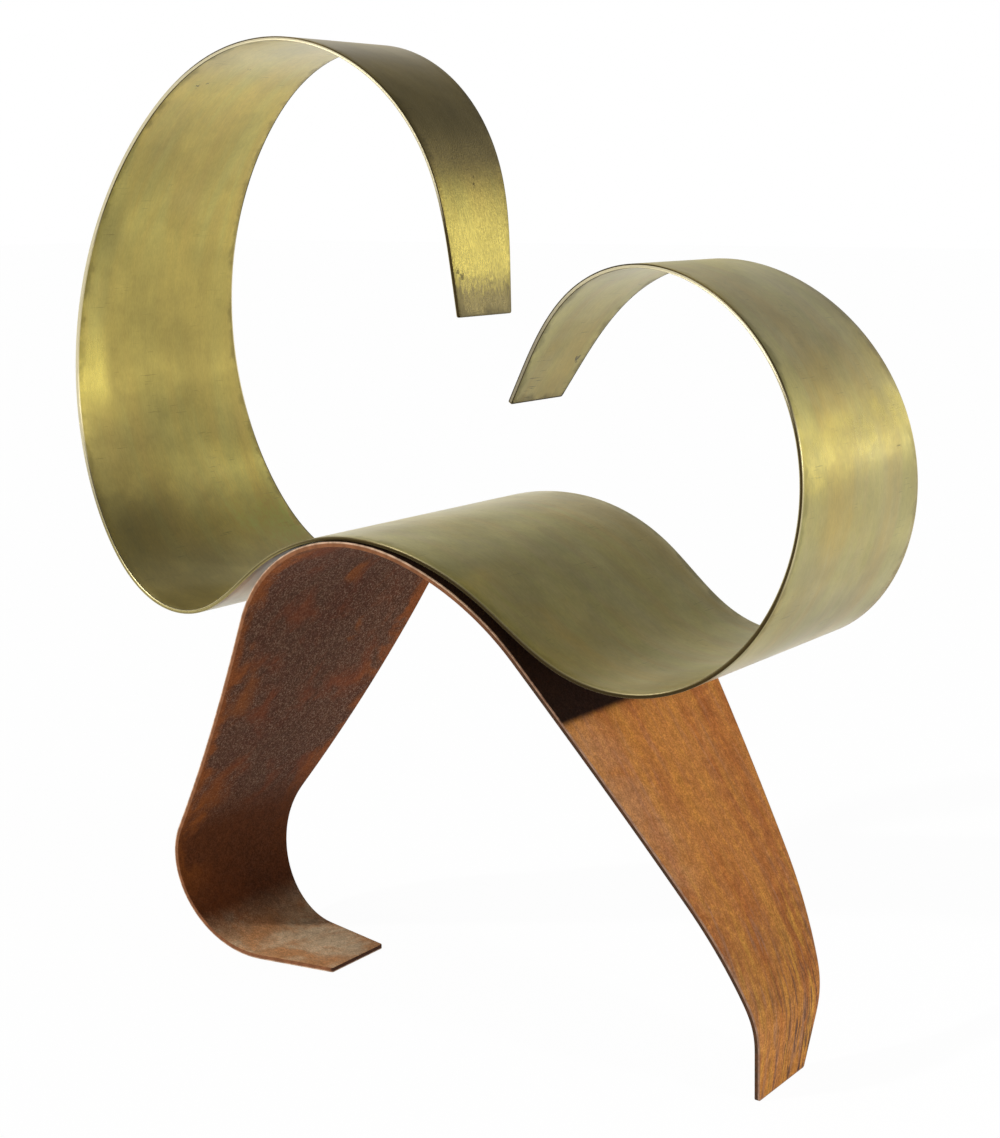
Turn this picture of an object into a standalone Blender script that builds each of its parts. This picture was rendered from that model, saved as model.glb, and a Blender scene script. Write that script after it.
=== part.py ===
"""Abstract sculpture made of two bent plates.

A long brass plate, widest near its middle and narrow at both tips, is rolled into two open loops
with a crest between them. A plate of rusted steel, bent into a crest with two legs, carries the
brass on its crest. The left leg ends in a toe that lies flat on the floor. The right leg is cut
level and stands on its end.

Every bend is rolled about a line along Y. So each plate is one side view in X and Z, and a width
along Y that changes along the plate. Metres, +Z up, floor at Z = 0, left loop at -X.
"""

import math
from collections import namedtuple

import bmesh
import bpy
import numpy as np

# Plates: thickness, rounding of the cut edges, rounding of the tips' corners
BRASS_THICKNESS = 0.0048
STEEL_THICKNESS = 0.0062
EDGE_EASING = 0.0008
CORNER_RADIUS = 0.003

# Gap left where the brass sits on the steel
SEAT_CLEARANCE = 0.0003

# Steel stand, from the flat toe over the crest to the standing foot; bends in degrees
TOE_LENGTH = 0.111
HEEL_RADIUS = 0.111
HEEL_BEND = 124.8
SHIN_LENGTH = 0.3675
SHIN_BOW = 7.8
STEEL_CREST_LEFT_RADIUS = 0.217
STEEL_CREST_LEFT_BEND = 82.9
STEEL_CREST_RIGHT_RADIUS = 0.288
STEEL_CREST_RIGHT_BEND = 33.5
LEG_LENGTH = 0.321
LEG_BOW = 3.3
ANKLE_RADIUS = 0.595
ANKLE_BEND = 12.4
FOOT_RADIUS = 0.114
FOOT_BEND = 27.0
STEEL_BLEND = 0.020

# Steel stand, widths along Y; at its widest it reaches past the brass by the overhang on each side
TOE_WIDTH = 0.108
FOOT_WIDTH = 0.115
STEEL_OVERHANG = 0.00325
STEEL_WIDEST_PAST_CREST = 0.0105
STEEL_SHOULDER_ROUNDING = 0.138

# Brass band, from the left loop's tip over the crest to the right loop's tip; bends in degrees
LEFT_TIP_LENGTH = 0.111
LEFT_TOP_RADIUS = 0.234
LEFT_TOP_BEND = 125.6
LEFT_SIDE_RADIUS = 0.429
LEFT_SIDE_BEND = 73.1
LEFT_LOWER_RADIUS = 0.323
LEFT_LOWER_BEND = 21.2
LEFT_BOTTOM_RADIUS = 0.139
LEFT_BOTTOM_BEND = 90.9
CREST_RADIUS = 0.292
CREST_LEFT_BEND = 45.9
CREST_RIGHT_BEND = 46.1
RIGHT_BOTTOM_RADIUS = 0.171
RIGHT_BOTTOM_BEND = 101.9
RIGHT_SIDE_RADIUS = 0.239
RIGHT_SIDE_BEND = 110.6
RIGHT_TOP_RADIUS = 0.167
RIGHT_TOP_BEND = 72.6
RIGHT_TIP_LENGTH = 0.096
BRASS_BLEND = 0.125

# Brass band, widths along Y
LEFT_TIP_WIDTH = 0.104
RIGHT_TIP_WIDTH = 0.106
BRASS_CREST_WIDTH = 0.4185
BRASS_WIDEST_PAST_CREST = 0.0705
BRASS_SHOULDER_ROUNDING = 0.055

# The brass crest lies this far right of the steel crest
CREST_OFFSET = 0.0075

# Fineness of the facets: most turn and most length of one facet, steps in a rounded edge and in
# a tip's corner, and the angle above which an edge is shaded sharp
FACET_TURN = math.radians(4.0)
FACET_LENGTH = 0.05
EDGE_STEPS = 2
CORNER_STEPS = 5
SHARP_TURN = math.radians(20.0)

# How much of the edges' quarter round is carried out at a plate's end, which leaves it a flat
END_EASING = 0.9

# Fineness of the side views: spacing of their points, and headings averaged at each
SIDE_VIEW_STEP = 0.001
BLEND_SAMPLES = 25

SideView = namedtuple("SideView", "along x z heading")


def straight(length):
    """A stretch of plate as its length and its turn in radians."""
    return length, 0.0


def bow(length, degrees):
    """A slow curve given by its length. Positive turns to the left of travel."""
    return length, math.radians(degrees)


def bend(radius, degrees):
    """A rolled bend given by its radius. Positive turns to the left of travel."""
    turn = math.radians(degrees)
    return radius * abs(turn), turn


def side_view(stretches, first_heading, blend):
    """Follow the stretches and return points along the plate's middle line.

    The heading is averaged over the blend length, so each bend runs softly into the next.
    """
    lengths = [length for length, _ in stretches]
    turns = [turn for _, turn in stretches]
    joints = np.concatenate(([0.0], np.cumsum(lengths)))
    headings = first_heading + np.concatenate(([0.0], np.cumsum(turns)))
    count = math.ceil(joints[-1] / SIDE_VIEW_STEP)
    along = np.linspace(0.0, joints[-1], count + 1)
    window = np.linspace(-blend / 2, blend / 2, BLEND_SAMPLES)
    heading = np.interp(along[:, None] + window, joints, headings).mean(axis=1)
    middle = (heading[1:] + heading[:-1]) / 2
    step = along[1]
    x = np.concatenate(([0.0], np.cumsum(np.cos(middle) * step)))
    z = np.concatenate(([0.0], np.cumsum(np.sin(middle) * step)))
    return SideView(along, x, z, heading)


def moved(view, dx, dz):
    return SideView(view.along, view.x + dx, view.z + dz, view.heading)


def at(view, along):
    """The side view at the given distances along it."""
    x = np.interp(along, view.along, view.x)
    z = np.interp(along, view.along, view.z)
    heading = np.interp(along, view.along, view.heading)
    return SideView(along, x, z, heading)


def cut_at_floor(view):
    """End the plate where its middle line comes down to the floor, past its highest point."""
    top = int(np.argmax(view.z))
    falling = -view.z[top:]
    end = float(np.interp(0.0, falling, view.along[top:]))
    keep = view.along[view.along < end]
    return at(view, np.append(keep, end))


def surface(view, offset):
    """The side view of a surface at this distance to the left of the middle line."""
    x = view.x - np.sin(view.heading) * offset
    z = view.z + np.cos(view.heading) * offset
    return x, z


def steel_side_view():
    """The steel from its toe, which lies on the floor, to its foot, cut at the floor."""
    spare = straight(SHIN_LENGTH + LEG_LENGTH)
    stretches = [
        straight(TOE_LENGTH),
        bend(HEEL_RADIUS, -HEEL_BEND),
        bow(SHIN_LENGTH, SHIN_BOW),
        bend(STEEL_CREST_LEFT_RADIUS, -STEEL_CREST_LEFT_BEND),
        bend(STEEL_CREST_RIGHT_RADIUS, -STEEL_CREST_RIGHT_BEND),
        bow(LEG_LENGTH, -LEG_BOW),
        bend(ANKLE_RADIUS, -ANKLE_BEND),
        bend(FOOT_RADIUS, -FOOT_BEND),
        spare,
    ]
    view = side_view(stretches, math.pi, STEEL_BLEND)
    view = cut_at_floor(moved(view, 0.0, STEEL_THICKNESS / 2))
    crest = float(view.along[np.argmax(view.z)])
    return moved(view, -at(view, crest).x, 0.0), crest


def brass_side_view():
    """The brass from tip to tip, with its crest level and over X = 0."""
    left = [
        straight(LEFT_TIP_LENGTH),
        bend(LEFT_TOP_RADIUS, LEFT_TOP_BEND),
        bend(LEFT_SIDE_RADIUS, LEFT_SIDE_BEND),
        bend(LEFT_LOWER_RADIUS, LEFT_LOWER_BEND),
        bend(LEFT_BOTTOM_RADIUS, LEFT_BOTTOM_BEND),
        bend(CREST_RADIUS, -CREST_LEFT_BEND),
    ]
    right = [
        bend(CREST_RADIUS, -CREST_RIGHT_BEND),
        bend(RIGHT_BOTTOM_RADIUS, RIGHT_BOTTOM_BEND),
        bend(RIGHT_SIDE_RADIUS, RIGHT_SIDE_BEND),
        bend(RIGHT_TOP_RADIUS, RIGHT_TOP_BEND),
        straight(RIGHT_TIP_LENGTH),
    ]
    crest = sum(length for length, _ in left)
    turned = sum(turn for _, turn in left)
    view = side_view(left + right, -turned, BRASS_BLEND)
    middle = at(view, crest)
    return moved(view, -middle.x, -middle.z), crest


def rightward(view, x, z):
    """The part of a surface that runs to the right, where X grows along the plate."""
    keep = np.cos(view.heading) > 0.0
    return x[keep], z[keep]


def seat_height(steel, brass, crest):
    """How far to lift the brass for its underside to sit on the steel's upper side."""
    upper_x, upper_z = surface(steel, STEEL_THICKNESS / 2 + SEAT_CLEARANCE)
    upper_x, upper_z = rightward(steel, upper_x, upper_z)
    bowls = (LEFT_BOTTOM_RADIUS + CREST_RADIUS, RIGHT_BOTTOM_RADIUS + CREST_RADIUS)
    near = (brass.along > crest - math.pi * bowls[0]) & (brass.along < crest + math.pi * bowls[1])
    lower = SideView(*(values[near] for values in brass))
    under_x, under_z = surface(lower, -BRASS_THICKNESS / 2)
    under_x, under_z = rightward(lower, under_x, under_z)
    low = max(upper_x.min(), under_x.min())
    high = min(upper_x.max(), under_x.max())
    columns = np.arange(low, high, SIDE_VIEW_STEP)
    gaps = np.interp(columns, under_x, under_z) - np.interp(columns, upper_x, upper_z)
    return float(-gaps.min())


def taper(along, length, first, last, widest, widest_at, rounding):
    """Width of a plate with straight edges that meet in a rounded shoulder."""
    peak = widest + rounding / 2
    rising = first + (peak - first) * along / widest_at
    falling = last + (peak - last) * (length - along) / (length - widest_at)
    return (rising + falling - np.sqrt((rising - falling) ** 2 + rounding ** 2)) / 2


def steel_width(along, length, crest):
    widest = BRASS_CREST_WIDTH + 2 * STEEL_OVERHANG
    widest_at = crest + STEEL_WIDEST_PAST_CREST
    return taper(along, length, TOE_WIDTH, FOOT_WIDTH, widest, widest_at, STEEL_SHOULDER_ROUNDING)


def brass_width(along, length, crest):
    widest_at = crest + BRASS_WIDEST_PAST_CREST
    return taper(along, length, LEFT_TIP_WIDTH, RIGHT_TIP_WIDTH, BRASS_CREST_WIDTH, widest_at,
                 BRASS_SHOULDER_ROUNDING)


def corner_loss(from_end):
    """How much a rounded corner takes off each edge at this distance from the plate's end."""
    inside = np.clip(CORNER_RADIUS - from_end, 0.0, CORNER_RADIUS)
    return CORNER_RADIUS - np.sqrt(CORNER_RADIUS ** 2 - inside ** 2)


def easing_loss(from_end):
    """How much the eased end takes off every side at this distance from the plate's end."""
    inside = np.clip(EDGE_EASING - from_end, 0.0, END_EASING * EDGE_EASING)
    return EDGE_EASING - np.sqrt(EDGE_EASING ** 2 - inside ** 2)


def end_distances():
    """Distances from a plate's end at which it needs a ring of points."""
    quarter = np.linspace(0.0, math.pi / 2, CORNER_STEPS + 1)
    return CORNER_RADIUS * (1.0 - np.cos(quarter))


def ring_places(view):
    """Distances along the plate of its rings: close together where it turns, and at both ends."""
    turn = np.abs(np.diff(view.heading))
    effort = turn / FACET_TURN + np.diff(view.along) / FACET_LENGTH
    total = np.concatenate(([0.0], np.cumsum(effort)))
    count = math.ceil(total[-1])
    places = np.interp(np.linspace(0.0, total[-1], count + 1), total, view.along)
    ends = end_distances()
    clear = 2 * CORNER_RADIUS
    length = view.along[-1]
    places = places[(places > clear) & (places < length - clear)]
    return np.concatenate((ends, places, (length - ends)[::-1]))


def section(width, thickness, loss):
    """Outline across the plate, as pairs of distance along Y and distance off the middle line."""
    radius = EDGE_EASING - loss
    half_width = width / 2 - EDGE_EASING
    half_thickness = thickness / 2 - EDGE_EASING
    points = []
    for quarter, (side, face) in enumerate(((1, 1), (-1, 1), (-1, -1), (1, -1))):
        for step in range(EDGE_STEPS + 1):
            angle = math.pi / 2 * (quarter + step / EDGE_STEPS)
            y = side * half_width + radius * math.cos(angle)
            off = face * half_thickness + radius * math.sin(angle)
            points.append((y, off))
    return points


def plate(name, view, width, thickness, level_end, material):
    """A plate of the given side view and widths, as one closed mesh."""
    length = view.along[-1]
    places = ring_places(view)
    spots = at(view, places)
    from_end = np.minimum(places, length - places)
    widths = width(places) - 2 * corner_loss(from_end)
    losses = easing_loss(from_end)
    work = bmesh.new()
    rings = []
    for i, place in enumerate(places):
        ahead = (math.cos(spots.heading[i]), math.sin(spots.heading[i]))
        level = level_end and length - place <= CORNER_RADIUS
        slope = ahead[0] / ahead[1] if level else 0.0
        ring = []
        for y, off in section(widths[i], thickness, losses[i]):
            x = spots.x[i] - ahead[1] * off - ahead[0] * slope * off
            z = spots.z[i] + ahead[0] * off - ahead[1] * slope * off
            ring.append(work.verts.new((x, y, z)))
        rings.append(ring)
    for ring, following in zip(rings, rings[1:]):
        for i, vertex in enumerate(ring):
            after = (i + 1) % len(ring)
            work.faces.new((vertex, ring[after], following[after], following[i]))
    work.faces.new(rings[0])
    work.faces.new(rings[-1])
    bmesh.ops.recalc_face_normals(work, faces=work.faces)
    mesh = bpy.data.meshes.new(name)
    work.to_mesh(mesh)
    work.free()
    mesh.shade_smooth()
    mesh.set_sharp_from_angle(angle=SHARP_TURN)
    mesh.materials.append(material)
    piece = bpy.data.objects.new(name, mesh)
    bpy.context.collection.objects.link(piece)
    return piece


def metal(name, colour, roughness, metallic):
    material = bpy.data.materials.new(name)
    material.use_nodes = True
    shader = material.node_tree.nodes["Principled BSDF"]
    shader.inputs["Base Color"].default_value = (*colour, 1.0)
    shader.inputs["Roughness"].default_value = roughness
    shader.inputs["Metallic"].default_value = metallic
    return material


def main():
    for leftover in list(bpy.data.objects):
        bpy.data.objects.remove(leftover)

    steel, steel_crest = steel_side_view()
    brass, brass_crest = brass_side_view()
    lift = seat_height(steel, moved(brass, CREST_OFFSET, 0.0), brass_crest)

    def width_of_steel(along):
        return steel_width(along, steel.along[-1], steel_crest)

    def width_of_brass(along):
        return brass_width(along, brass.along[-1], brass_crest)

    patina = metal("brass", (0.36, 0.28, 0.11), 0.38, 1.0)
    rust = metal("weathering_steel", (0.22, 0.09, 0.04), 0.85, 0.2)
    stand = plate("steel_stand", steel, width_of_steel, STEEL_THICKNESS, True, rust)
    band = plate("brass_band", brass, width_of_brass, BRASS_THICKNESS, False, patina)

    # The sculpture's own origin is on the floor, under the middle of its length and width.
    steel_x, _ = surface(steel, STEEL_THICKNESS / 2)
    inner_x, _ = surface(brass, BRASS_THICKNESS / 2)
    outer_x, _ = surface(brass, -BRASS_THICKNESS / 2)
    brass_x = np.concatenate((inner_x, outer_x)) + CREST_OFFSET
    left = min(steel_x.min(), brass_x.min())
    right = max(steel_x.max(), brass_x.max())
    middle = (left + right) / 2
    sculpture = bpy.data.objects.new("sculpture", None)
    bpy.context.collection.objects.link(sculpture)
    stand.location = (-middle, 0.0, 0.0)
    band.location = (CREST_OFFSET - middle, 0.0, lift)
    for piece in (stand, band):
        piece.parent = sculpture


main()
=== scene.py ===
"""Looks of an abstract sculpture: a rolled brass band on a bent stand of rusted steel."""

import math
from collections import namedtuple

import bpy
import numpy as np
from mathutils import Matrix, Vector


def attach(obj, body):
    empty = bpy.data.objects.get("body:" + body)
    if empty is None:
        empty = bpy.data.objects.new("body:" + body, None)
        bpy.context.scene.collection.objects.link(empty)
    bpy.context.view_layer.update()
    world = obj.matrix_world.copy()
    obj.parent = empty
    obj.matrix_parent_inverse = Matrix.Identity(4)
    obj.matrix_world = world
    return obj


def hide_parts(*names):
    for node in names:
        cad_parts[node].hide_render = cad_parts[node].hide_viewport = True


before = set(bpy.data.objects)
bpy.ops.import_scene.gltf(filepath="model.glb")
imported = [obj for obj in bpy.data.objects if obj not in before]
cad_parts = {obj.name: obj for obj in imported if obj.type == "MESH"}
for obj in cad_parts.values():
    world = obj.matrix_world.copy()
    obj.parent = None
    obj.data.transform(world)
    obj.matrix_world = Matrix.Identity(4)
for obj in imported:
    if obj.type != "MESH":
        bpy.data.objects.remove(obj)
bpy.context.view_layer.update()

# Every length below is in metres
BRASS_THICKNESS = 0.0048
STEEL_THICKNESS = 0.0062
EDGE_EASING = 0.0008
END_EASING_SHARE = 0.9
CORNER_RADIUS = 0.003

# How the brass sits on the steel: the gap, how far its crest lies to the right of the steel's, and
# how far from its crest, along it, its underside is looked at for the seat
SEAT_CLEARANCE = 0.0003
CREST_OFFSET = 0.0075
SEAT_REACH_LEFT = 1.35
SEAT_REACH_RIGHT = 1.45

# Lengths over which the bends of a side view run into each other
STEEL_BLEND = 0.020
BRASS_BLEND = 0.125

# Width of a plate at its two ends and its shoulder, how far past the crest the shoulder lies, and
# how round it is
Widths = namedtuple("Widths", "first last widest past_crest rounding")
STEEL_WIDTHS = Widths(0.108, 0.115, 0.425, 0.0105, 0.138)
BRASS_WIDTHS = Widths(0.104, 0.106, 0.4185, 0.0705, 0.055)

# Fineness of the meshes
FACET_TURN = math.radians(1.1)
FACET_LENGTH = 0.012
EDGE_STEPS = 4
CORNER_STEPS = 8
ACROSS = 22
SHARP_ANGLE = math.radians(40)
SIDE_VIEW_STEP = 0.001
BLEND_SAMPLES = 25

SideView = namedtuple("SideView", "along x z heading")


# Side views: stretches with a length and a turn, or with a radius and a turn for a bend
def straight(length):
    return length, 0.0


def bow(length, degrees):
    return length, math.radians(degrees)


def bend(radius, degrees):
    turn = math.radians(degrees)
    return radius * abs(turn), turn


def side_view(stretches, first_heading, blend):
    """Points along a plate's middle line, with the heading averaged over the blend length."""
    lengths = [length for length, _ in stretches]
    turns = [turn for _, turn in stretches]
    joints = np.concatenate(([0.0], np.cumsum(lengths)))
    headings = first_heading + np.concatenate(([0.0], np.cumsum(turns)))
    count = math.ceil(joints[-1] / SIDE_VIEW_STEP)
    along = np.linspace(0.0, joints[-1], count + 1)
    window = np.linspace(-blend / 2, blend / 2, BLEND_SAMPLES)
    heading = np.interp(along[:, None] + window, joints, headings).mean(axis=1)
    middle = (heading[1:] + heading[:-1]) / 2
    step = along[1]
    x = np.concatenate(([0.0], np.cumsum(np.cos(middle) * step)))
    z = np.concatenate(([0.0], np.cumsum(np.sin(middle) * step)))
    return SideView(along, x, z, heading)


def moved(view, dx, dz):
    return SideView(view.along, view.x + dx, view.z + dz, view.heading)


def at(view, along):
    x = np.interp(along, view.along, view.x)
    z = np.interp(along, view.along, view.z)
    heading = np.interp(along, view.along, view.heading)
    return SideView(along, x, z, heading)


def surface(view, offset):
    x = view.x - np.sin(view.heading) * offset
    z = view.z + np.cos(view.heading) * offset
    return x, z


def steel_side_view():
    """The steel from its toe, flat on the floor, to its foot, cut at the floor."""
    stretches = [
        straight(0.111),
        bend(0.111, -124.8),
        bow(0.3675, 7.8),
        bend(0.217, -82.9),
        bend(0.288, -33.5),
        bow(0.321, -3.3),
        bend(0.595, -12.4),
        bend(0.114, -27.0),
        straight(0.5),
    ]
    view = moved(side_view(stretches, math.pi, STEEL_BLEND), 0.0, STEEL_THICKNESS / 2)
    top = int(np.argmax(view.z))
    end = float(np.interp(0.0, -view.z[top:], view.along[top:]))
    view = at(view, np.append(view.along[view.along < end], end))
    crest = float(view.along[np.argmax(view.z)])
    return moved(view, -at(view, crest).x, 0.0), crest


def brass_side_view():
    """The brass from tip to tip, with its crest level and over X = 0."""
    left = [
        straight(0.111),
        bend(0.234, 125.6),
        bend(0.429, 73.1),
        bend(0.323, 21.2),
        bend(0.139, 90.9),
        bend(0.292, -45.9),
    ]
    right = [
        bend(0.292, -46.1),
        bend(0.171, 101.9),
        bend(0.239, 110.6),
        bend(0.167, 72.6),
        straight(0.096),
    ]
    crest = sum(length for length, _ in left)
    turned = sum(turn for _, turn in left)
    view = side_view(left + right, -turned, BRASS_BLEND)
    middle = at(view, crest)
    return moved(view, -middle.x, -middle.z), crest


def rightward(view, x, z):
    keep = np.cos(view.heading) > 0.0
    return x[keep], z[keep]


def seat_height(steel, brass, crest):
    """How far to lift the brass for its underside to sit on the steel's upper side."""
    upper = rightward(steel, *surface(steel, STEEL_THICKNESS / 2 + SEAT_CLEARANCE))
    near = (brass.along > crest - SEAT_REACH_LEFT) & (brass.along < crest + SEAT_REACH_RIGHT)
    lower = SideView(*(values[near] for values in brass))
    under = rightward(lower, *surface(lower, -BRASS_THICKNESS / 2))
    low = max(upper[0].min(), under[0].min())
    high = min(upper[0].max(), under[0].max())
    columns = np.arange(low, high, SIDE_VIEW_STEP)
    return float(-(np.interp(columns, *under) - np.interp(columns, *upper)).min())


# Meshes
def taper(along, length, crest, widths):
    """Width of a plate with straight edges that meet in a rounded shoulder."""
    shoulder = crest + widths.past_crest
    peak = widths.widest + widths.rounding / 2
    rising = widths.first + (peak - widths.first) * along / shoulder
    falling = widths.last + (peak - widths.last) * (length - along) / (length - shoulder)
    return (rising + falling - np.sqrt((rising - falling) ** 2 + widths.rounding ** 2)) / 2


def quarter_loss(radius, from_end, share=1.0):
    """How much a quarter round takes off at this distance from the plate's end."""
    inside = np.clip(radius - from_end, 0.0, share * radius)
    return radius - np.sqrt(radius ** 2 - inside ** 2)


def ring_places(view):
    """Distances along the plate for its rings of points, closer where it bends and at its ends."""
    turn = np.abs(np.diff(view.heading))
    effort = np.maximum(turn / FACET_TURN, np.diff(view.along) / FACET_LENGTH)
    total = np.concatenate(([0.0], np.cumsum(effort)))
    places = np.interp(np.linspace(0.0, total[-1], math.ceil(total[-1]) + 1), total, view.along)
    quarter = np.linspace(0.0, math.pi / 2, CORNER_STEPS + 1)
    ends = CORNER_RADIUS * (1.0 - np.cos(quarter))
    clear = 2 * CORNER_RADIUS
    length = view.along[-1]
    places = places[(places > clear) & (places < length - clear)]
    return np.concatenate((ends, places, (length - ends)[::-1]))


def section(width, thickness, loss):
    """Points across the plate: distance along Y, distance off the middle line."""
    radius = EDGE_EASING - loss
    half_width = width / 2 - EDGE_EASING
    half_thickness = thickness / 2 - EDGE_EASING
    points = []
    for quarter, (side, face) in enumerate(((1, 1), (-1, 1), (-1, -1), (1, -1))):
        for step in range(EDGE_STEPS + 1):
            angle = math.pi / 2 * (quarter + step / EDGE_STEPS)
            y = side * half_width + radius * math.cos(angle)
            off = face * half_thickness + radius * math.sin(angle)
            points.append((y, off))
        if quarter in (0, 2):
            for step in range(1, ACROSS):
                y = side * half_width * (1 - 2 * (step / ACROSS))
                points.append((y, face * (half_thickness + radius)))
    return points


def plate_points(view, places, widths, thickness, level_end):
    """Points of each ring, and their distances along, across, off and in from the side edge."""
    spots = at(view, places)
    length = view.along[-1]
    losses = quarter_loss(EDGE_EASING, np.minimum(places, length - places), END_EASING_SHARE)
    verts = []
    values = []
    for i, place in enumerate(places):
        ahead = (math.cos(spots.heading[i]), math.sin(spots.heading[i]))
        level = level_end and length - place <= CORNER_RADIUS
        slope = ahead[0] / ahead[1] if level else 0.0
        for y, off in section(widths[i], thickness, losses[i]):
            x = spots.x[i] - ahead[1] * off - ahead[0] * slope * off
            z = spots.z[i] + ahead[0] * off - ahead[1] * slope * off
            verts.append((x, y, z))
            values.append((place, y, off, widths[i] / 2 - abs(y)))
    return verts, np.array(values)


def plate_faces(rings, around):
    """Quads between the rings, and one face over each end."""
    faces = []
    for ring in range(rings - 1):
        base = ring * around
        for i in range(around):
            after = (i + 1) % around
            faces.append((base + i, base + i + around, base + after + around, base + after))
    last = (rings - 1) * around
    faces.append(tuple(range(around)))
    faces.append(tuple(range(last + around - 1, last - 1, -1)))
    return faces


def plate(name, view, crest, shape, thickness, level_end, node):
    """The plate as one closed mesh that stands for its CAD node."""
    length = view.along[-1]
    places = ring_places(view)
    from_end = np.minimum(places, length - places)
    widths = taper(places, length, crest, shape) - 2 * quarter_loss(CORNER_RADIUS, from_end)
    verts, values = plate_points(view, places, widths, thickness, level_end)
    mesh = bpy.data.meshes.new(name)
    mesh.from_pydata(verts, [], plate_faces(len(places), len(verts) // len(places)))
    mesh.update()
    place = mesh.attributes.new("place", "FLOAT_VECTOR", "POINT")
    place.data.foreach_set("vector", values[:, :3].astype(np.float32).ravel())
    ends = np.minimum(values[:, 0], length - values[:, 0])
    rim = mesh.attributes.new("rim", "FLOAT", "POINT")
    rim.data.foreach_set("value", np.minimum(values[:, 3], ends).astype(np.float32))
    corners = np.zeros(len(mesh.loops), np.int32)
    mesh.loops.foreach_get("vertex_index", corners)
    layer = mesh.uv_layers.new(name="plate")
    layer.data.foreach_set("uv", values[corners][:, (1, 0)].astype(np.float32).ravel())
    mesh.shade_smooth()
    mesh.set_sharp_from_angle(angle=SHARP_ANGLE)
    piece = bpy.data.objects.new(name, mesh)
    bpy.context.collection.objects.link(piece)
    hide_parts(node)
    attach(piece, "root")
    return piece


# Shader nodes
class Tree:
    """Short ways to add and join shader nodes."""

    def __init__(self, nodes):
        self.nodes = nodes.nodes
        self.links = nodes.links

    def put(self, node, key, value):
        socket = node.inputs[int(key[1:]) if key[0] == "i" and key[1:].isdigit() else key]
        if isinstance(value, bpy.types.NodeSocket):
            self.links.new(value, socket)
        elif isinstance(value, tuple) and socket.type == "RGBA" and len(value) == 3:
            socket.default_value = (*value, 1.0)
        else:
            socket.default_value = value

    def node(self, kind, settings=None, **inputs):
        node = self.nodes.new(kind)
        for key, value in (settings or {}).items():
            setattr(node, key, value)
        for key, value in inputs.items():
            self.put(node, key.replace("_", " "), value)
        return node

    def add(self, kind, output=0, settings=None, **inputs):
        return self.node(kind, settings, **inputs).outputs[output]

    def math(self, operation, a, b=0.0):
        return self.add("ShaderNodeMath", settings={"operation": operation}, i0=a, i1=b)

    def chain(self, operation, values):
        result = values[0]
        for value in values[1:]:
            result = self.math(operation, result, value)
        return result

    def times(self, *values):
        return self.chain("MULTIPLY", values)

    def plus(self, *values):
        return self.chain("ADD", values)

    def most(self, *values):
        return self.chain("MAXIMUM", values)

    def less(self, a, b):
        return self.math("SUBTRACT", a, b)

    def rest(self, share):
        return self.less(1.0, share)

    def darken(self, shade, mask, amount):
        """The shade less this share of it where the mask is 1."""
        return self.times(shade, self.rest(self.times(mask, amount)))

    def either(self, share, a, b):
        """a where the share is 1 and b where it is 0."""
        return self.plus(self.times(share, a), self.times(self.rest(share), b))

    def ramp(self, value, low, high, to_low=0.0, to_high=1.0):
        return self.add("ShaderNodeMapRange", settings={"interpolation_type": "SMOOTHSTEP"},
                        Value=value, From_Min=low, From_Max=high, To_Min=to_low, To_Max=to_high)

    def zone(self, value, start, full, fade, end):
        """1 from full to fade, and 0 before start and after end."""
        return self.times(self.ramp(value, start, full), self.ramp(value, end, fade))

    def stretch(self, vector, x, y, z, shift=(0.0, 0.0, 0.0)):
        return self.add("ShaderNodeMapping", Vector=vector, Scale=(x, y, z), Location=shift)

    def noise(self, vector, scale, detail=2.0, rough=0.5, lean=0.0):
        return self.add("ShaderNodeTexNoise", Vector=vector, Scale=scale, Detail=detail,
                        Roughness=rough, Distortion=lean)

    def streaks(self, vector, x, y, detail, rough, lean=0.0, z=1.0):
        return self.noise(self.stretch(vector, x, y, z), 1.0, detail, rough, lean)

    def mix(self, share, a, b, blend="MIX"):
        settings = {"data_type": "RGBA", "blend_type": blend}
        return self.add("ShaderNodeMix", 2, settings, i0=share, i6=a, i7=b)

    def layers(self, colour, patches):
        """The colour with each patch's colour laid over it, from pairs of share and colour."""
        for share, patch in patches:
            colour = self.mix(share, colour, patch)
        return colour

    def shaded(self, colour, shade):
        grey = self.add("ShaderNodeCombineColor", Red=shade, Green=shade, Blue=shade)
        return self.mix(1.0, colour, grey, "MULTIPLY")


Spot = namedtuple("Spot", "place rim along across off")


def new_material(name):
    material = bpy.data.materials.new(name)
    material.use_nodes = True
    return material, Tree(material.node_tree), material.node_tree.nodes["Principled BSDF"]


def plate_spot(tree):
    """A point's place on its plate, its distance in from the rim, and the place's three parts."""
    place = tree.add("ShaderNodeAttribute", "Vector", {"attribute_name": "place"})
    rim = tree.add("ShaderNodeAttribute", "Fac", {"attribute_name": "rim"})
    split = tree.node("ShaderNodeSeparateXYZ", Vector=place)
    return Spot(place, rim, *split.outputs)


def curve_along(tree, along, length, stops):
    """A smooth value along a plate, from pairs of distance and value up to 2."""
    node = tree.node("ShaderNodeFloatCurve", Value=tree.math("DIVIDE", along, length))
    curve = node.mapping.curves[0]
    node.mapping.extend = "HORIZONTAL"
    curve.points[0].location = (0.0, stops[0][1] / 2)
    curve.points[1].location = (1.0, stops[-1][1] / 2)
    for distance, value in stops[1:-1]:
        curve.points.new(distance / length, value / 2)
    node.mapping.update()
    return tree.times(node.outputs[0], 2.0)


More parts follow.
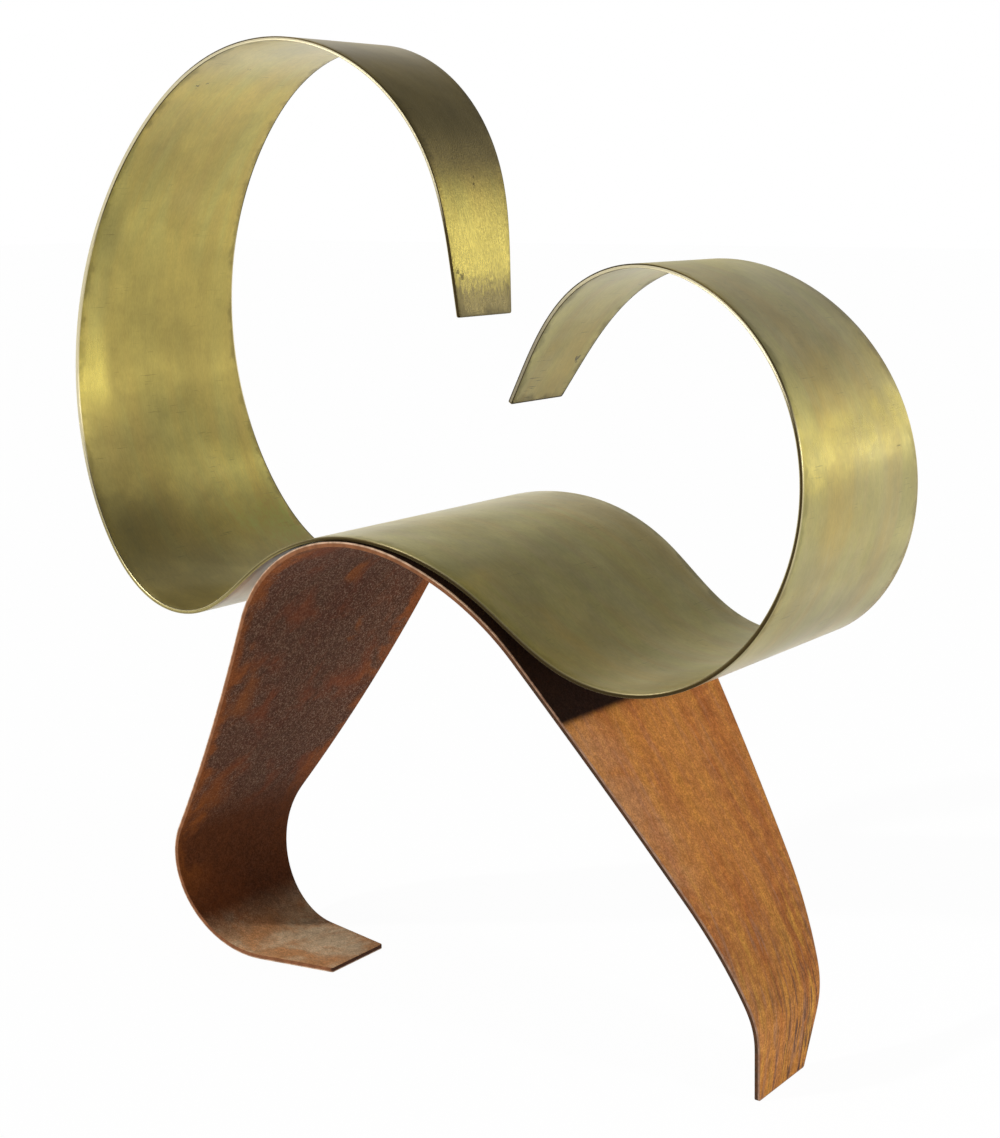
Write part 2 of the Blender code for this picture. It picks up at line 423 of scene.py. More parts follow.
def marks(tree, place, ragged, rows, squash, core, strength):
    """A mask for each row of distance along, distance across and size."""
    spread = tree.stretch(place, 1.0, squash, 0.0)
    masks = []
    for along, across, size in rows:
        gap = tree.add("ShaderNodeVectorMath", "Value", {"operation": "DISTANCE"}, i0=spread,
                       i1=(along, across * squash, 0.0))
        masks.append(tree.ramp(tree.plus(gap, ragged), size, size * core, 0.0, strength))
    return masks


def put_relief(tree, shader, height, strength):
    bump = tree.node("ShaderNodeBump", Distance=1.0, Strength=strength, Height=height)
    tree.put(shader, "Normal", bump.outputs[0])


# Brass: colours
WARM_BRASS = (0.635, 0.495, 0.100)
GREYED_BRASS = (0.60, 0.505, 0.185)
BROWNED_BRASS = (0.56, 0.440, 0.115)
GREEN_TINT = (0.585, 0.535, 0.150)
RED_TINT = (0.61, 0.445, 0.110)
DARK_TOP = (0.35, 0.265, 0.080)
# Painted shade on the near side of the tall bowl
BOWL_PAINTED_SHADE = (0.40, 0.31, 0.085)
BOWL_OLIVE = (0.47, 0.405, 0.175)
# Painted shade on the middle and far side of the tall loop's wall
WALL_PAINTED_SHADE = (0.48, 0.375, 0.085)
# Painted reflection, greyed, on the underside below the crest
UNDERSIDE_PAINTED_REFLECTION = (0.40, 0.40, 0.34)
# Painted reflection on the low belly
BELLY_PAINTED_REFLECTION = (0.62, 0.56, 0.40)
# Painted reflection on pale stretches of the inner side
PALE_PAINTED_REFLECTION = (0.67, 0.59, 0.30)
# Painted highlight where the brass is rubbed smoother
PAINTED_HIGHLIGHT = (0.82, 0.67, 0.15)
TIP_BROWN = (0.24, 0.185, 0.075)
EDGE_BROWN = (0.060, 0.040, 0.012)
EDGE_OLIVE = (0.36, 0.30, 0.12)
EDGE_STRAW = (0.66, 0.58, 0.32)
EDGE_CREAM = (0.78, 0.70, 0.46)
EDGE_GREY = (0.30, 0.26, 0.18)
EDGE_LIP = (0.06, 0.042, 0.016)
# Painted highlight along the corners
CORNER_HIGHLIGHT = (0.80, 0.70, 0.42)
DARK_CORNER = (0.05, 0.035, 0.015)

# Brass: where a patch starts, is full, begins to fade and ends, along the band from its tall tip
TALL_TOP = (0.13, 0.19, 0.32, 0.52)
NEAR_WALL_SHADE_ZONE = (0.76, 0.83, 0.91, 0.97)
WALL_SHADE_ZONE = (0.80, 0.92, 1.02, 1.12)
HIGHLIGHT_WALL = (0.95, 1.01, 1.04, 1.08)
BOWL_SHADE_ZONE = (1.02, 1.14, 1.38, 1.52)
BOWL_LIGHT_ZONE = (1.12, 1.20, 1.38, 1.48)
BOWL_RISE = (1.24, 1.34, 1.46, 1.58)
CREST_UNDERSIDE = (1.40, 1.48, 1.62, 1.74)
LOW_BELLY = (1.96, 2.06, 2.18, 2.28)
HIGHLIGHT_LINE = (2.435, 2.475, 2.50, 2.535)
FAR_WALL_LIGHT_ZONE = (2.45, 2.52, 2.58, 2.66)
PALE_REFLECTION_ZONES = (
    (0.38, 0.46, 0.52, 0.62),
    (1.60, 1.66, 1.72, 1.78),
    (2.68, 2.74, 2.78, 2.84),
)
CREAM_EDGE = (0.10, 0.16, 1.10, 1.25)
OLIVE_EDGE = (1.10, 1.25, 1.60, 1.72)
CREST_EDGE = (1.46, 1.56, 2.26, 2.36)
DARK_CORNER_WALL = (0.46, 0.54, 0.78, 0.88)
DARK_CORNER_BOWL = (1.06, 1.16, 1.42, 1.50)

# Brass: brightness and weight of the clear coat along each side, as distance and value
# The brightness curves are partly the brass's own tone and partly painted light and shade
INNER_TONE_AND_LIGHT = (
    (0.0, 1.0), (0.36, 1.13), (0.48, 1.13), (0.60, 1.08), (0.72, 0.89), (0.84, 0.99),
    (0.96, 0.90), (1.08, 0.86), (1.20, 1.18), (1.36, 1.34), (1.68, 1.15), (1.80, 1.07),
    (1.92, 0.95), (2.06, 0.94), (2.40, 1.0), (2.76, 1.04), (2.88, 0.90), (3.05, 0.85),
)
OUTER_TONE_AND_LIGHT = (
    (0.0, 1.0), (0.12, 0.93), (0.24, 1.0), (0.38, 1.12), (1.44, 1.15), (1.80, 1.0),
    (2.04, 1.22), (2.16, 1.28), (2.28, 0.79), (2.40, 0.82), (2.52, 1.08), (2.64, 1.16),
    (2.76, 1.08), (2.88, 0.82), (3.05, 0.75),
)
INNER_COAT = (
    (0.0, 0.6), (0.40, 0.9), (0.50, 1.0), (0.60, 0.75), (0.74, 0.55), (1.14, 0.55),
    (1.30, 1.0), (1.44, 0.9), (1.60, 0.65), (1.80, 0.6), (2.40, 0.6), (2.72, 1.0),
    (2.84, 0.8), (3.05, 0.6),
)
OUTER_COAT = (
    (0.0, 0.6), (0.12, 0.4), (0.28, 0.4), (0.40, 1.0), (1.44, 0.6), (2.04, 0.9),
    (2.16, 1.0), (2.28, 0.5), (2.50, 0.5), (2.66, 0.8), (2.82, 0.4), (3.05, 0.3),
)
COAT_ROUGHNESS = 0.35
BRUSHED_ANISOTROPY = 0.8

# Brass: pits, as distance along, distance across and size
PITS = (
    (0.047, -0.041, 0.0050),
    (0.054, -0.048, 0.0035),
    (0.153, 0.004, 0.0020),
    (0.161, 0.006, 0.0020),
    (0.603, -0.060, 0.0025),
    (0.610, -0.073, 0.0035),
    (2.998, 0.042, 0.0050),
)


def brass_polish_and_highlight(tree, spot, outside, mottle):
    """Where the brass is rubbed smoother and painted with a highlight: the tall tip, the near wall
    and a line up the low loop.
    """
    along, across = spot.along, spot.across
    tip = tree.times(outside, tree.ramp(along, 0.17, 0.08))
    wall = tree.times(tree.zone(along, *HIGHLIGHT_WALL), tree.ramp(across, -0.086, -0.110))
    slant = tree.less(along, tree.times(across, 0.15))
    broken = tree.ramp(mottle, 0.35, 0.65, 0.35, 0.85)
    return tree.most(tip, wall, tree.times(outside, tree.zone(slant, *HIGHLIGHT_LINE), broken))


def brass_patina_and_painted_light(tree, spot, outside, under, clouds, polish_and_highlight):
    """Which stretches are warm, which are grey, and which are dark, with painted shade, painted
    reflections and painted highlights laid over them.
    """
    along, across = spot.along, spot.across
    inside = tree.rest(outside)
    right = tree.ramp(along, 1.35, 1.75)
    grey = tree.ramp(tree.plus(tree.times(right, 0.55), tree.times(clouds, 0.9)), 0.3, 1.05)
    tint = tree.streaks(spot.place, 3.0, 22.0, 3.0, 0.55, 0.5)
    # Painted shade: the near side of the tall bowl darker
    bowl_shade = tree.times(tree.zone(along, *BOWL_SHADE_ZONE), tree.ramp(across, 0.10, -0.14))
    # Painted shade: the middle and far side of the tall loop's wall darker
    wall_shade = tree.times(tree.zone(along, *WALL_SHADE_ZONE), tree.ramp(across, -0.115, -0.080))
    # Painted reflection: pale stretches of the inner side at the tops of the loops and at the
    # crest
    pale_reflection = tree.most(*(tree.zone(along, *stretch) for stretch in PALE_REFLECTION_ZONES))
    fleck = tree.streaks(spot.place, 110.0, 210.0, 5.0, 0.7, 0.3)
    end = tree.plus(along, tree.ramp(fleck, 0.3, 0.7, -0.012, 0.012))
    return tree.layers(tree.mix(grey, WARM_BRASS, GREYED_BRASS), (
        (tree.ramp(clouds, 0.62, 0.32), BROWNED_BRASS),
        (tree.ramp(tint, 0.46, 0.64, 0.0, 0.5), GREEN_TINT),
        (tree.ramp(tint, 0.50, 0.34, 0.0, 0.5), RED_TINT),
        (tree.times(outside, tree.zone(along, *TALL_TOP)), DARK_TOP),
        (tree.times(bowl_shade, 0.65), BOWL_PAINTED_SHADE),
        (tree.times(wall_shade, 0.8), WALL_PAINTED_SHADE),
        # Painted reflection on the underside below the crest
        (tree.times(under, 0.75), UNDERSIDE_PAINTED_REFLECTION),
        (tree.times(tree.zone(along, *BOWL_RISE), inside, 0.7), BOWL_OLIVE),
        # Painted reflection: the outer low belly paler
        (tree.times(tree.zone(along, *LOW_BELLY), outside, 0.7), BELLY_PAINTED_REFLECTION),
        (tree.times(pale_reflection, inside, 0.6), PALE_PAINTED_REFLECTION),
        # Painted highlight on the tall tip, the near wall and a line up the low loop
        (polish_and_highlight, PAINTED_HIGHLIGHT),
        (tree.ramp(end, 0.062, 0.020, 0.0, 0.86), TIP_BROWN),
    ))


def brass_shade(tree, spot, outside, under, mottle, lines):
    """Brightness of the brass: its clouds and grain, and how it changes along and across, partly
    painted light and shade.
    """
    place, along, across = spot.place, spot.along, spot.across
    blotch = tree.noise(place, 13.0, 3.0, 0.55, 0.2)
    grain = tree.noise(tree.stretch(place, 0.45, 1.5, 1.0), 330.0, 3.0, 0.6, 0.4)
    grain = tree.times(tree.ramp(grain, 0.3, 0.7, -1.0, 1.0),
                       tree.ramp(along, 0.26, 0.12, 0.06, 0.20))
    # Brightness along the band: partly its own tone, partly painted light and shade
    tone_and_light = tree.either(outside, curve_along(tree, along, brass.along[-1], OUTER_TONE_AND_LIGHT),
                       curve_along(tree, along, brass.along[-1], INNER_TONE_AND_LIGHT))
    # Painted light and shade: the near edge of the tall loop's wall darker, the far edge of the
    # low loop's wall lighter, and the tall bowl's inside and the underside darker on the near side
    # and lighter on the far side
    near_wall_painted_shade = tree.times(tree.zone(along, *NEAR_WALL_SHADE_ZONE),
                           tree.ramp(across, -0.080, -0.100, 0.0, 0.22))
    far_wall_painted_light = tree.times(tree.zone(along, *FAR_WALL_LIGHT_ZONE), tree.ramp(across, 0.065, 0.11, 0.0, 0.25))
    bowl_painted_light = tree.times(tree.zone(along, *BOWL_LIGHT_ZONE),
                          tree.ramp(across, -0.13, 0.12, -0.16, 0.42), tree.rest(outside))
    underside_painted_light = tree.times(under, tree.ramp(across, -0.12, 0.12, -0.10, 0.34))
    lift = tree.plus(tree.less(far_wall_painted_light, near_wall_painted_shade), bowl_painted_light, underside_painted_light)
    return tree.times(tree.ramp(lines, 0.3, 0.7, 0.965, 1.03),
                      tree.ramp(mottle, 0.3, 0.7, 0.965, 1.03),
                      tree.ramp(blotch, 0.35, 0.65, 0.91, 1.07),
                      tree.plus(grain, 1.0), tone_and_light, tree.plus(1.0, lift))


def brass_nicks(tree, place):
    """Short marks, a few in each patch of a scattered pattern."""
    scatter = tree.node("ShaderNodeTexVoronoi", Vector=tree.stretch(place, 30.0, 11.0, 1.0),
                        Scale=1.0)
    pick = tree.add("ShaderNodeSeparateColor", "Red", Color=scatter.outputs["Color"])
    near = tree.ramp(scatter.outputs["Distance"], 0.10, 0.03)
    return tree.times(near, tree.math("LESS_THAN", pick, 0.15),
                      tree.ramp(tree.noise(place, 420.0), 0.45, 0.6))


def brass_wear(tree, spot, shade, tarnish, nicks):
    """The shade with its tarnished edges, nicks, scratches across the band, and pits."""
    place, along = spot.place, spot.along
    shade = tree.darken(shade, tarnish, 0.28)
    shade = tree.darken(shade, nicks, 0.55)
    hair = tree.streaks(place, 620.0, 24.0, 2.0, 0.5, 0.15)
    thick = tree.plus(tree.noise(place, 21.0), tree.ramp(along, 2.90, 3.0, 0.0, 0.09))
    hair = tree.times(tree.ramp(hair, 0.64, 0.70), tree.ramp(thick, 0.52, 0.62))
    shade = tree.darken(shade, hair, tree.ramp(along, 2.93, 3.0, 0.3, 0.65))
    ragged = tree.ramp(tree.noise(place, 260.0, 3.0, 0.7), 0.3, 0.7, -0.0030, 0.0030)
    for pit in marks(tree, place, ragged, PITS, 1.0, 0.4, 0.7):
        shade = tree.times(shade, tree.rest(pit))
    return shade


def brass_edges(tree, spot, colour):
    """Cut edges, cream round the loops and dark at the crest, with a painted highlight along the
    corners, dark in some stretches.

    Returns the colour, the cut face and where a line on it or beside it is dark.
    """
    along, off, rim = spot.along, spot.off, spot.rim
    crest = tree.zone(along, *CREST_EDGE)
    sides = tree.times(tree.ramp(off, -0.0011, -0.0018), tree.ramp(along, 2.30, 2.40))
    sides = tree.darken(tree.most(sides, tree.ramp(off, 0.0011, 0.0018)), crest, 0.75)
    cream = tree.most(tree.ramp(along, 2.50, 2.60), tree.zone(along, *CREAM_EDGE))
    lip = tree.most(tree.ramp(along, 0.64, 0.56), tree.ramp(along, 2.48, 2.56))
    seam = tree.ramp(tree.math("ABSOLUTE", off), 0.0011, 0.0005)
    lip = tree.most(tree.times(tree.ramp(off, -0.0006, -0.0012), lip),
                    tree.times(seam, crest, 0.8))
    cut = tree.layers(EDGE_BROWN, (
        (tree.zone(along, *OLIVE_EDGE), EDGE_OLIVE),
        (sides, EDGE_STRAW),
        (cream, EDGE_CREAM),
        (tree.ramp(along, 2.84, 2.98, 0.0, 0.8), EDGE_GREY),
        (lip, EDGE_LIP),
    ))
    corner = tree.times(tree.ramp(rim, 0.0026, 0.0016), tree.ramp(off, 0.0, 0.0015, 0.35, 1.0),
                        tree.less(0.9, tree.times(crest, 0.6)))
    dark = tree.most(tree.zone(along, *DARK_CORNER_WALL), tree.ramp(along, 2.60, 2.66),
                     tree.times(tree.zone(along, *DARK_CORNER_BOWL), 0.75), tree.times(lip, 0.9))
    # Painted highlight along the corners, dark in some stretches
    colour = tree.mix(corner, colour, tree.mix(dark, CORNER_HIGHLIGHT, DARK_CORNER))
    cut_face = tree.ramp(rim, 0.0006, 0.0002)
    dark_line = tree.most(tree.times(corner, dark), tree.times(cut_face, lip))
    return tree.mix(cut_face, colour, cut), cut_face, dark_line


def brass_material():
    material, tree, shader = new_material("brass_patina_and_painted_light")
    spot = plate_spot(tree)
    place, along = spot.place, spot.along
    outside = tree.ramp(spot.off, 0.0005, -0.0005)
    under = tree.times(tree.zone(along, *CREST_UNDERSIDE), outside)
    clouds = tree.noise(place, 7.0, 5.0, 0.55, 0.4)
    mottle = tree.noise(place, 34.0, 4.0, 0.6, 0.2)

    # Brush lines along the band
    fine = tree.streaks(place, 5.0, 900.0, 3.0, 0.6, z=900.0)
    broad = tree.streaks(place, 3.0, 130.0, 3.0, 0.55, z=900.0)
    lines = tree.plus(tree.times(fine, 0.5), tree.times(broad, 0.5))

    # Tarnish near the rim, with a ragged border
    ragged = tree.plus(spot.rim, tree.ramp(mottle, 0.3, 0.7, -0.006, 0.006))
    tarnish = tree.ramp(ragged, 0.012, 0.001)

    polish_and_highlight = brass_polish_and_highlight(tree, spot, outside, mottle)
    nicks = brass_nicks(tree, place)
    shade = brass_shade(tree, spot, outside, under, mottle, lines)
    shade = brass_wear(tree, spot, shade, tarnish, nicks)
    colour = brass_patina_and_painted_light(tree, spot, outside, under, clouds, polish_and_highlight)
    colour, cut_face, dark_line = brass_edges(tree, spot, tree.shaded(colour, shade))
    tree.put(shader, "Base Color", colour)
    shader.inputs["Metallic"].default_value = 1.0

    rough = tree.plus(tree.times(clouds, 0.6), tree.times(lines, 0.4))
    rough = tree.less(tree.ramp(rough, 0.3, 0.7, 0.37, 0.28), tree.times(polish_and_highlight, 0.07))
    tree.put(shader, "Roughness", tree.plus(rough, tree.times(tarnish, 0.12)))
    shader.inputs["Anisotropic"].default_value = BRUSHED_ANISOTROPY
    tree.put(shader, "Tangent", tree.add("ShaderNodeTangent", 0, {
        "direction_type": "UV_MAP", "uv_map": "plate"}))

    coat = tree.either(outside, curve_along(tree, along, brass.along[-1], OUTER_COAT),
                       curve_along(tree, along, brass.along[-1], INNER_COAT))
    coat = tree.times(tree.darken(coat, cut_face, 0.8), tree.rest(dark_line))
    tree.put(shader, "Coat Weight", coat)
    shader.inputs["Coat Roughness"].default_value = COAT_ROUGHNESS

    # Relief in metres: soft dents, brush lines, nicks, and a fine wrinkle near the tall tip
    wrinkle = tree.noise(tree.stretch(place, 1.0, 1.4, 1.0), 380.0, 2.0, 0.5, 0.3)
    wrinkle = tree.times(wrinkle, tree.ramp(along, 0.30, 0.14, 0.00004, 0.00045))
    height = tree.plus(tree.times(tree.noise(place, 16.0), 0.0012), tree.times(lines, 0.00006))
    height = tree.plus(tree.less(height, tree.times(nicks, 0.0002)), wrinkle)
    put_relief(tree, shader, height, 1.0)
    return material


# Steel: colours
RUST_ORANGE = (0.410, 0.146, 0.041)
RUST_LIGHT = (0.495, 0.196, 0.050)
RUST_FLECK = (0.54, 0.235, 0.045)
RUST_BAND_LIGHT = (0.54, 0.235, 0.040)
RUST_BAND_DARK = (0.36, 0.105, 0.024)
RUST_OCHRE = (0.60, 0.29, 0.05)
RUST_PURPLE = (0.35, 0.175, 0.095)
RUST_ASH = (0.43, 0.220, 0.115)
STAIN_DARK = (0.12, 0.060, 0.040)
# Painted shade: near-black where the brass covers and shades the steel
PAINTED_SHADE_UNDER_BRASS = (0.011, 0.003, 0.002)
MAROON = (0.082, 0.028, 0.013)
MAROON_GREY = (0.085, 0.036, 0.018)
SPECKLE_GREY = (0.225, 0.136, 0.090)
MAROON_PATCH = (0.165, 0.042, 0.013)
RIM_ORANGE = (0.23, 0.066, 0.014)
# Dark red rust on the heel, deepened as painted shade
HEEL_RED_AND_SHADE = (0.092, 0.024, 0.004)
HEEL_ORANGE = (0.22, 0.062, 0.009)
SPOT_ORANGE = (0.24, 0.068, 0.012)
DUST_PALE = (0.60, 0.44, 0.27)
DUST_TAN = (0.46, 0.255, 0.125)
DUST_ORANGE = (0.47, 0.215, 0.080)
CUT_TAN = (0.26, 0.105, 0.045)
CUT_DARK = (0.050, 0.026, 0.013)
# Painted shade on the toe's end face
TOE_END_SHADE = (0.07, 0.03, 0.018)
CUT_GRAIN = (0.12, 0.045, 0.018)
RUBBED_LEFT = (0.62, 0.42, 0.28)
RUBBED_RIGHT = (0.34, 0.20, 0.13)
STEEL_SPECULAR = 0.12
STEEL_RELIEF = 0.7

# Steel: where a patch starts, is full, begins to fade and ends, along the plate from its toe
HEEL_SHADE_ZONE = (0.16, 0.22, 0.32, 0.42)
NEAR_HEEL = (0.22, 0.30, 0.38, 0.50)
# The covered stretch holds painted shade from the brass
SHADED_UNDER_BRASS = (0.80, 0.88, 1.284, 1.294)
LOW_LEG = (1.54, 1.60, 1.65, 1.70)

# Steel: bright rust on the inner side, as distance along, distance across and size
RUST_SPOTS = (
    (0.766, -0.009, 0.034),
    (0.664, 0.055, 0.026),
    (0.585, -0.128, 0.055),
    (0.347, -0.095, 0.034),
)


def steel_outer_side(tree, spot, clouds, grain):
    """Orange-brown with ochre, purple-grey and dark runs that grow towards the foot, and painted
    deep shade under the brass.
    """
    place, along, across = spot.place, spot.along, spot.across
    foot = tree.ramp(along, 1.42, 1.70)
    bands = tree.streaks(place, 3.0, 24.0, 3.0, 0.5, 0.4)
    runs = tree.streaks(place, 9.0, 75.0, 5.0, 0.62, 0.3)
    ashy = tree.times(tree.ramp(across, -0.035, -0.12), tree.ramp(clouds, 0.40, 0.62))
    stain = tree.ramp(tree.streaks(place, 22.0, 190.0, 4.0, 0.6, 0.4), 0.50, 0.61)
    stain = tree.times(stain, tree.ramp(along, 1.56, 1.73, 0.14, 0.95),
                       tree.ramp(across, -0.05, 0.02, 0.45, 1.0))
    return tree.layers(tree.mix(tree.ramp(clouds, 0.35, 0.65), RUST_ORANGE, RUST_LIGHT), (
        (tree.ramp(grain, 0.50, 0.68, 0.0, 0.5), RUST_FLECK),
        (tree.ramp(bands, 0.46, 0.64, 0.0, 0.5), RUST_BAND_LIGHT),
        (tree.ramp(bands, 0.50, 0.34, 0.0, 0.5), RUST_BAND_DARK),
        (tree.times(tree.ramp(runs, 0.50, 0.66), tree.ramp(foot, 0.0, 1.0, 0.25, 0.8)),
         RUST_OCHRE),
        (tree.times(tree.ramp(runs, 0.48, 0.34), tree.ramp(foot, 0.0, 1.0, 0.3, 0.8)),
         RUST_PURPLE),
        (tree.times(ashy, 0.5), RUST_ASH),
        (stain, STAIN_DARK),
        # Painted shade: near-black under the brass
        (tree.times(tree.zone(along, *SHADED_UNDER_BRASS), 0.98), PAINTED_SHADE_UNDER_BRASS),
    ))


def steel_inner_side(tree, spot, clouds, speckle):
    """Maroon-brown with grey speckle and orange patches, and a paler dusty toe."""
    along, across = spot.along, spot.across
    shifted = tree.stretch(spot.place, 1.0, 1.0, 1.0, (3.1, 0.0, 0.0))
    patches = tree.noise(shifted, 13.0, 5.0, 0.6, 0.5)
    bloom = tree.plus(spot.rim, tree.ramp(patches, 0.35, 0.65, 0.024, -0.024))
    bloom = tree.times(tree.ramp(bloom, 0.034, -0.006), tree.ramp(along, 0.16, 0.3))
    near_heel = tree.times(tree.ramp(across, -0.03, -0.09), tree.ramp(patches, 0.42, 0.60),
                           tree.zone(along, *NEAR_HEEL))
    ragged = tree.ramp(patches, 0.3, 0.7, 0.022, -0.022)
    spots = marks(tree, spot.place, ragged, RUST_SPOTS, 1.6, 0.2, 0.75)
    dust = tree.mix(tree.ramp(clouds, 0.4, 0.6), DUST_PALE, DUST_TAN)
    dust = tree.mix(tree.ramp(patches, 0.46, 0.60, 0.0, 0.8), dust, DUST_ORANGE)
    return tree.layers(tree.mix(tree.ramp(clouds, 0.35, 0.65), MAROON, MAROON_GREY), (
        (tree.ramp(speckle, 0.50, 0.66, 0.0, 0.85), SPECKLE_GREY),
        (tree.ramp(patches, 0.48, 0.70, 0.0, 0.8), MAROON_PATCH),
        (tree.times(bloom, 0.85), RIM_ORANGE),
        # Dark red rust on the heel, deepened as painted shade
        (tree.times(tree.zone(along, *HEEL_SHADE_ZONE), 0.92), HEEL_RED_AND_SHADE),
        (tree.times(near_heel, 0.6), HEEL_ORANGE),
        *((rusty, SPOT_ORANGE) for rusty in spots),
        (tree.ramp(along, 0.22, 0.14), dust),
    ))


def steel_shade(tree, spot, inside, speckle, grain):
    """Brightness of the steel: its speckle and grain, and how it changes along and across."""
    along, across = spot.along, spot.across
    # Painted light: the toe's inner side lighter on the near side and darker on the far side
    near_toe_painted_light = tree.times(tree.ramp(along, 0.30, 0.20), inside,
                          tree.ramp(across, -0.045, 0.03, 0.24, -0.12))
    far_side = tree.times(tree.ramp(along, 0.40, 0.50), tree.ramp(across, 0.01, 0.10, 0.0, 0.22))
    far_side = tree.plus(far_side, tree.ramp(along, 0.74, 0.84, 0.0, 0.17))
    low_leg = tree.times(tree.zone(along, *LOW_LEG), 0.13)
    lift = tree.less(tree.plus(near_toe_painted_light, tree.times(far_side, inside)), low_leg)
    return tree.times(tree.ramp(speckle, 0.30, 0.70, 0.72, 1.26), tree.plus(1.0, lift),
                      tree.ramp(grain, 0.3, 0.7, 0.86, 1.14))


def steel_edges(tree, spot, colour, grain):
    """Cut edges, tan on the left leg and dark on the right one, with rubbed outer corners."""
    along, off, rim = spot.along, spot.off, spot.rim
    right_leg = tree.ramp(along, 1.05, 1.25)
    rubbed = tree.mix(right_leg, RUBBED_LEFT, RUBBED_RIGHT)
    cut = tree.layers(CUT_TAN, (
        (right_leg, CUT_DARK),
        # Painted shade on the toe's end face
        (tree.ramp(along, 0.004, 0.002), TOE_END_SHADE),
        (tree.ramp(off, 0.0009, 0.0019), rubbed),
        (tree.ramp(grain, 0.60, 0.40, 0.0, 0.45), CUT_GRAIN),
    ))
    corner = tree.times(tree.ramp(rim, 0.0020, 0.0012), tree.ramp(off, 0.0015, 0.0022),
                        tree.ramp(grain, 0.38, 0.58, 0.35, 1.0))
    colour = tree.mix(corner, colour, rubbed)
    return tree.mix(tree.ramp(rim, 0.0007, 0.0003), colour, cut)


def steel_material():
    material, tree, shader = new_material("steel_rust_and_painted_light")
    spot = plate_spot(tree)
    inside = tree.ramp(spot.off, 0.0008, -0.0008)
    clouds = tree.noise(spot.place, 9.0, 6.0, 0.6, 0.6)
    speckle = tree.noise(spot.place, 500.0, 3.0, 0.7)
    grain = tree.noise(spot.place, 95.0, 5.0, 0.65)
    colour = tree.mix(inside, steel_outer_side(tree, spot, clouds, grain),
                      steel_inner_side(tree, spot, clouds, speckle))
    colour = tree.shaded(colour, steel_shade(tree, spot, inside, speckle, grain))
    tree.put(shader, "Base Color", steel_edges(tree, spot, colour, grain))
    tree.put(shader, "Roughness", tree.ramp(speckle, 0.3, 0.7, 0.92, 0.68))
    shader.inputs["Specular IOR Level"].default_value = STEEL_SPECULAR
    height = tree.plus(tree.times(speckle, 0.0006), tree.times(grain, 0.0008))
    put_relief(tree, shader, height, STEEL_RELIEF)
    return material


# Pieces
steel, steel_crest = steel_side_view()
brass, brass_crest = brass_side_view()
lift = seat_height(steel, moved(brass, CREST_OFFSET, 0.0), brass_crest)
inner, _ = surface(brass, BRASS_THICKNESS / 2)
outer, _ = surface(brass, -BRASS_THICKNESS / 2)
steel_x, _ = surface(steel, STEEL_THICKNESS / 2)
brass_x = np.concatenate((inner, outer)) + CREST_OFFSET
middle = (min(steel_x.min(), brass_x.min()) + max(steel_x.max(), brass_x.max())) / 2
steel = moved(steel, -middle, 0.0)
brass = moved(brass, CREST_OFFSET - middle, lift)
stand = plate("stand_plate", steel, steel_crest, STEEL_WIDTHS, STEEL_THICKNESS, True,
              "steel_stand")
band = plate("band_plate", brass, brass_crest, BRASS_WIDTHS, BRASS_THICKNESS, False,
             "brass_band")
band.data.materials.append(brass_material())
stand.data.materials.append(steel_material())

# Camera, with its focal length in pixels of the photo's height and its angles in radians
PHOTO_HEIGHT = 1138.0
FOCAL_LENGTH = 1943.4
SENSOR_WIDTH = 36.0
CAMERA_PLACE = (1.40355, -1.85761, 1.00283)
CAMERA_YAW = 0.6300454
CAMERA_PITCH = 0.1918299
CAMERA_ROLL = -0.0059447


def make_camera():
    data = bpy.data.cameras.new("camera")
    data.lens = FOCAL_LENGTH * SENSOR_WIDTH / PHOTO_HEIGHT
    data.sensor_width = SENSOR_WIDTH
    camera = bpy.data.objects.new("camera", data)
    bpy.context.collection.objects.link(camera)
    ahead = math.cos(CAMERA_PITCH)
    forward = Vector((-math.sin(CAMERA_YAW) * ahead, math.cos(CAMERA_YAW) * ahead,
                      -math.sin(CAMERA_PITCH)))
    level = Vector((math.cos(CAMERA_YAW), math.sin(CAMERA_YAW), 0.0))
    up = level.cross(forward)
    right = math.cos(CAMERA_ROLL) * level + math.sin(CAMERA_ROLL) * up
    top = -math.sin(CAMERA_ROLL) * level + math.cos(CAMERA_ROLL) * up
    turn = Matrix((right, top, -forward)).transposed().to_4x4()
    camera.matrix_world = Matrix.Translation(CAMERA_PLACE) @ turn
    bpy.context.scene.camera = camera


# Floor and light
FLOOR_REACH = 30.0
FLOOR_COLOUR = (0.85, 0.85, 0.85)
FLOOR_ROUGHNESS = 0.9
FLOOR_GLOW = 0.25
FLOOR_WHITE_SHARE = 0.96
WHITE = (1.0, 1.0, 1.0)


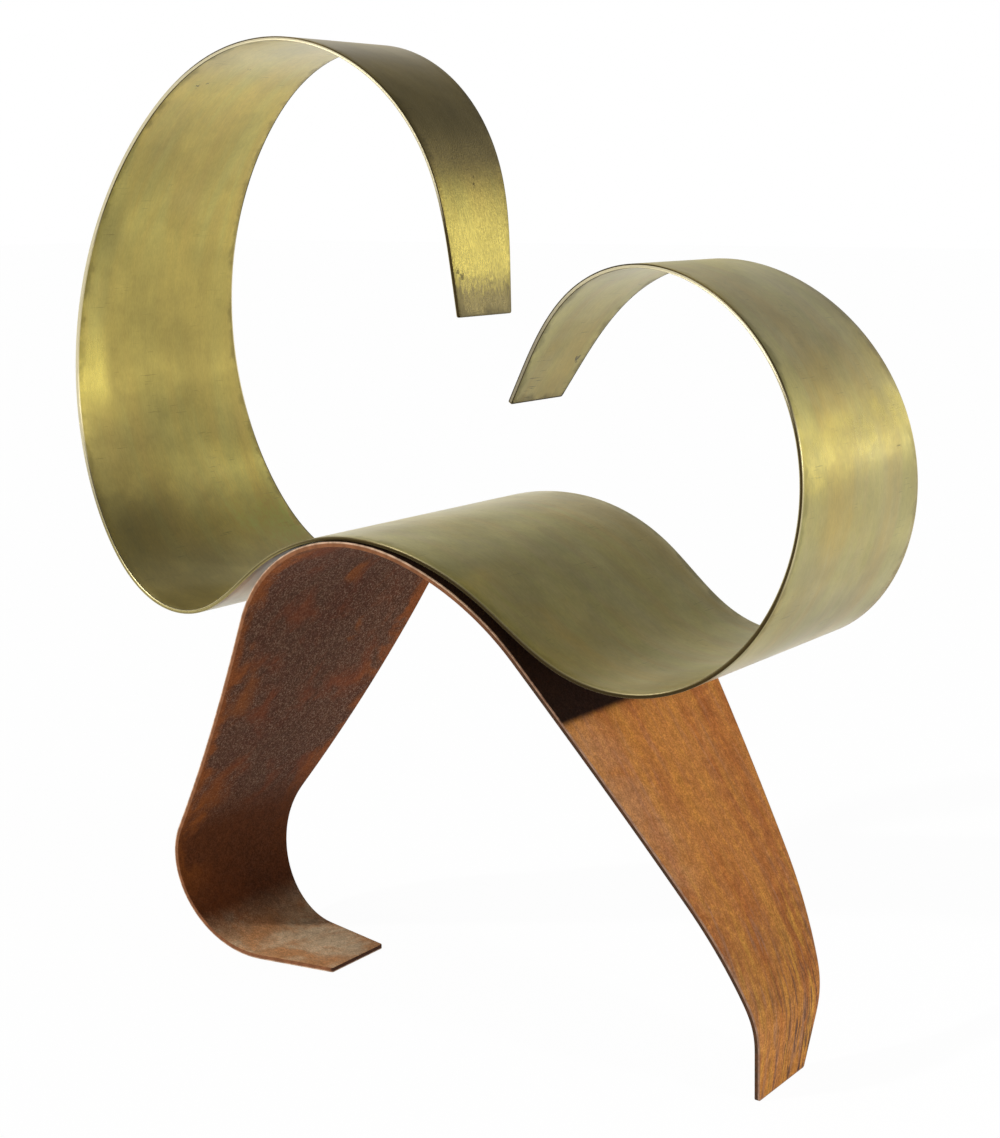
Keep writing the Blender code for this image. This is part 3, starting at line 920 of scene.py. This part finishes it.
def make_floor():
    """A pale floor that looks nearly white to the camera and still shows soft shadows."""
    mesh = bpy.data.meshes.new("floor")
    reach = FLOOR_REACH
    mesh.from_pydata([(-reach, -reach, 0), (reach, -reach, 0), (reach, reach, 0),
                      (-reach, reach, 0)], [], [(0, 1, 2, 3)])
    floor = bpy.data.objects.new("floor", mesh)
    bpy.context.collection.objects.link(floor)
    material, tree, shader = new_material("floor_paper")
    tree.put(shader, "Base Color", FLOOR_COLOUR)
    shader.inputs["Roughness"].default_value = FLOOR_ROUGHNESS
    tree.put(shader, "Emission Color", WHITE)
    shader.inputs["Emission Strength"].default_value = FLOOR_GLOW
    lit = tree.add("ShaderNodeEmission", Color=WHITE, Strength=1.0)
    seen = tree.add("ShaderNodeLightPath", "Is Camera Ray")
    blend = tree.add("ShaderNodeMixShader", i0=tree.times(seen, FLOOR_WHITE_SHARE),
                     i1=shader.outputs[0], i2=lit)
    tree.put(material.node_tree.nodes["Material Output"], "Surface", blend)
    mesh.materials.append(material)


def make_world():
    """Light that is strong at the horizon, weak high up and a little stronger overhead."""
    world = bpy.data.worlds.new("studio")
    bpy.context.scene.world = world
    world.use_nodes = True
    tree = Tree(world.node_tree)
    back = world.node_tree.nodes["Background"]
    direction = tree.add("ShaderNodeTexCoord", "Generated")
    height = tree.add("ShaderNodeSeparateXYZ", "Z", Vector=direction)
    low = tree.ramp(height, 0.0, 0.14, 1.3, 0.58)
    high = tree.ramp(height, 0.42, 0.60, 1.0, 0.15)
    overhead = tree.ramp(height, 0.6, 1.0, 0.0, 0.18)
    glow = tree.plus(tree.times(low, high), overhead)
    seen = tree.add("ShaderNodeLightPath", "Is Camera Ray")
    tree.put(back, "Strength", tree.plus(tree.times(glow, tree.rest(seen)), seen))
    tree.put(back, "Color", WHITE)


def lamp(name, kind, towards, power):
    """A lamp whose light comes from this direction."""
    data = bpy.data.lights.new(name, kind)
    data.energy = power
    piece = bpy.data.objects.new(name, data)
    bpy.context.collection.objects.link(piece)
    piece.rotation_euler = (-Vector(towards)).to_track_quat("-Z", "Y").to_euler()
    return piece


def make_sun(name, towards, spread, power):
    piece = lamp(name, "SUN", towards, power)
    piece.data.angle = math.radians(spread)


def make_panel(name, place, target, size, power):
    piece = lamp(name, "AREA", Vector(place) - Vector(target), power)
    piece.data.shape = "RECTANGLE"
    piece.data.size, piece.data.size_y = size
    piece.location = place


make_camera()
make_floor()
make_world()
make_sun("key", towards=(-0.44, -0.72, 0.53), spread=3.0, power=2.0)
make_panel("side", place=(3.3, -0.15, 1.70), target=(0.0, 0.0, 0.6), size=(0.35, 0.35), power=32.0)
bpy.context.scene.view_settings.view_transform = "Standard"
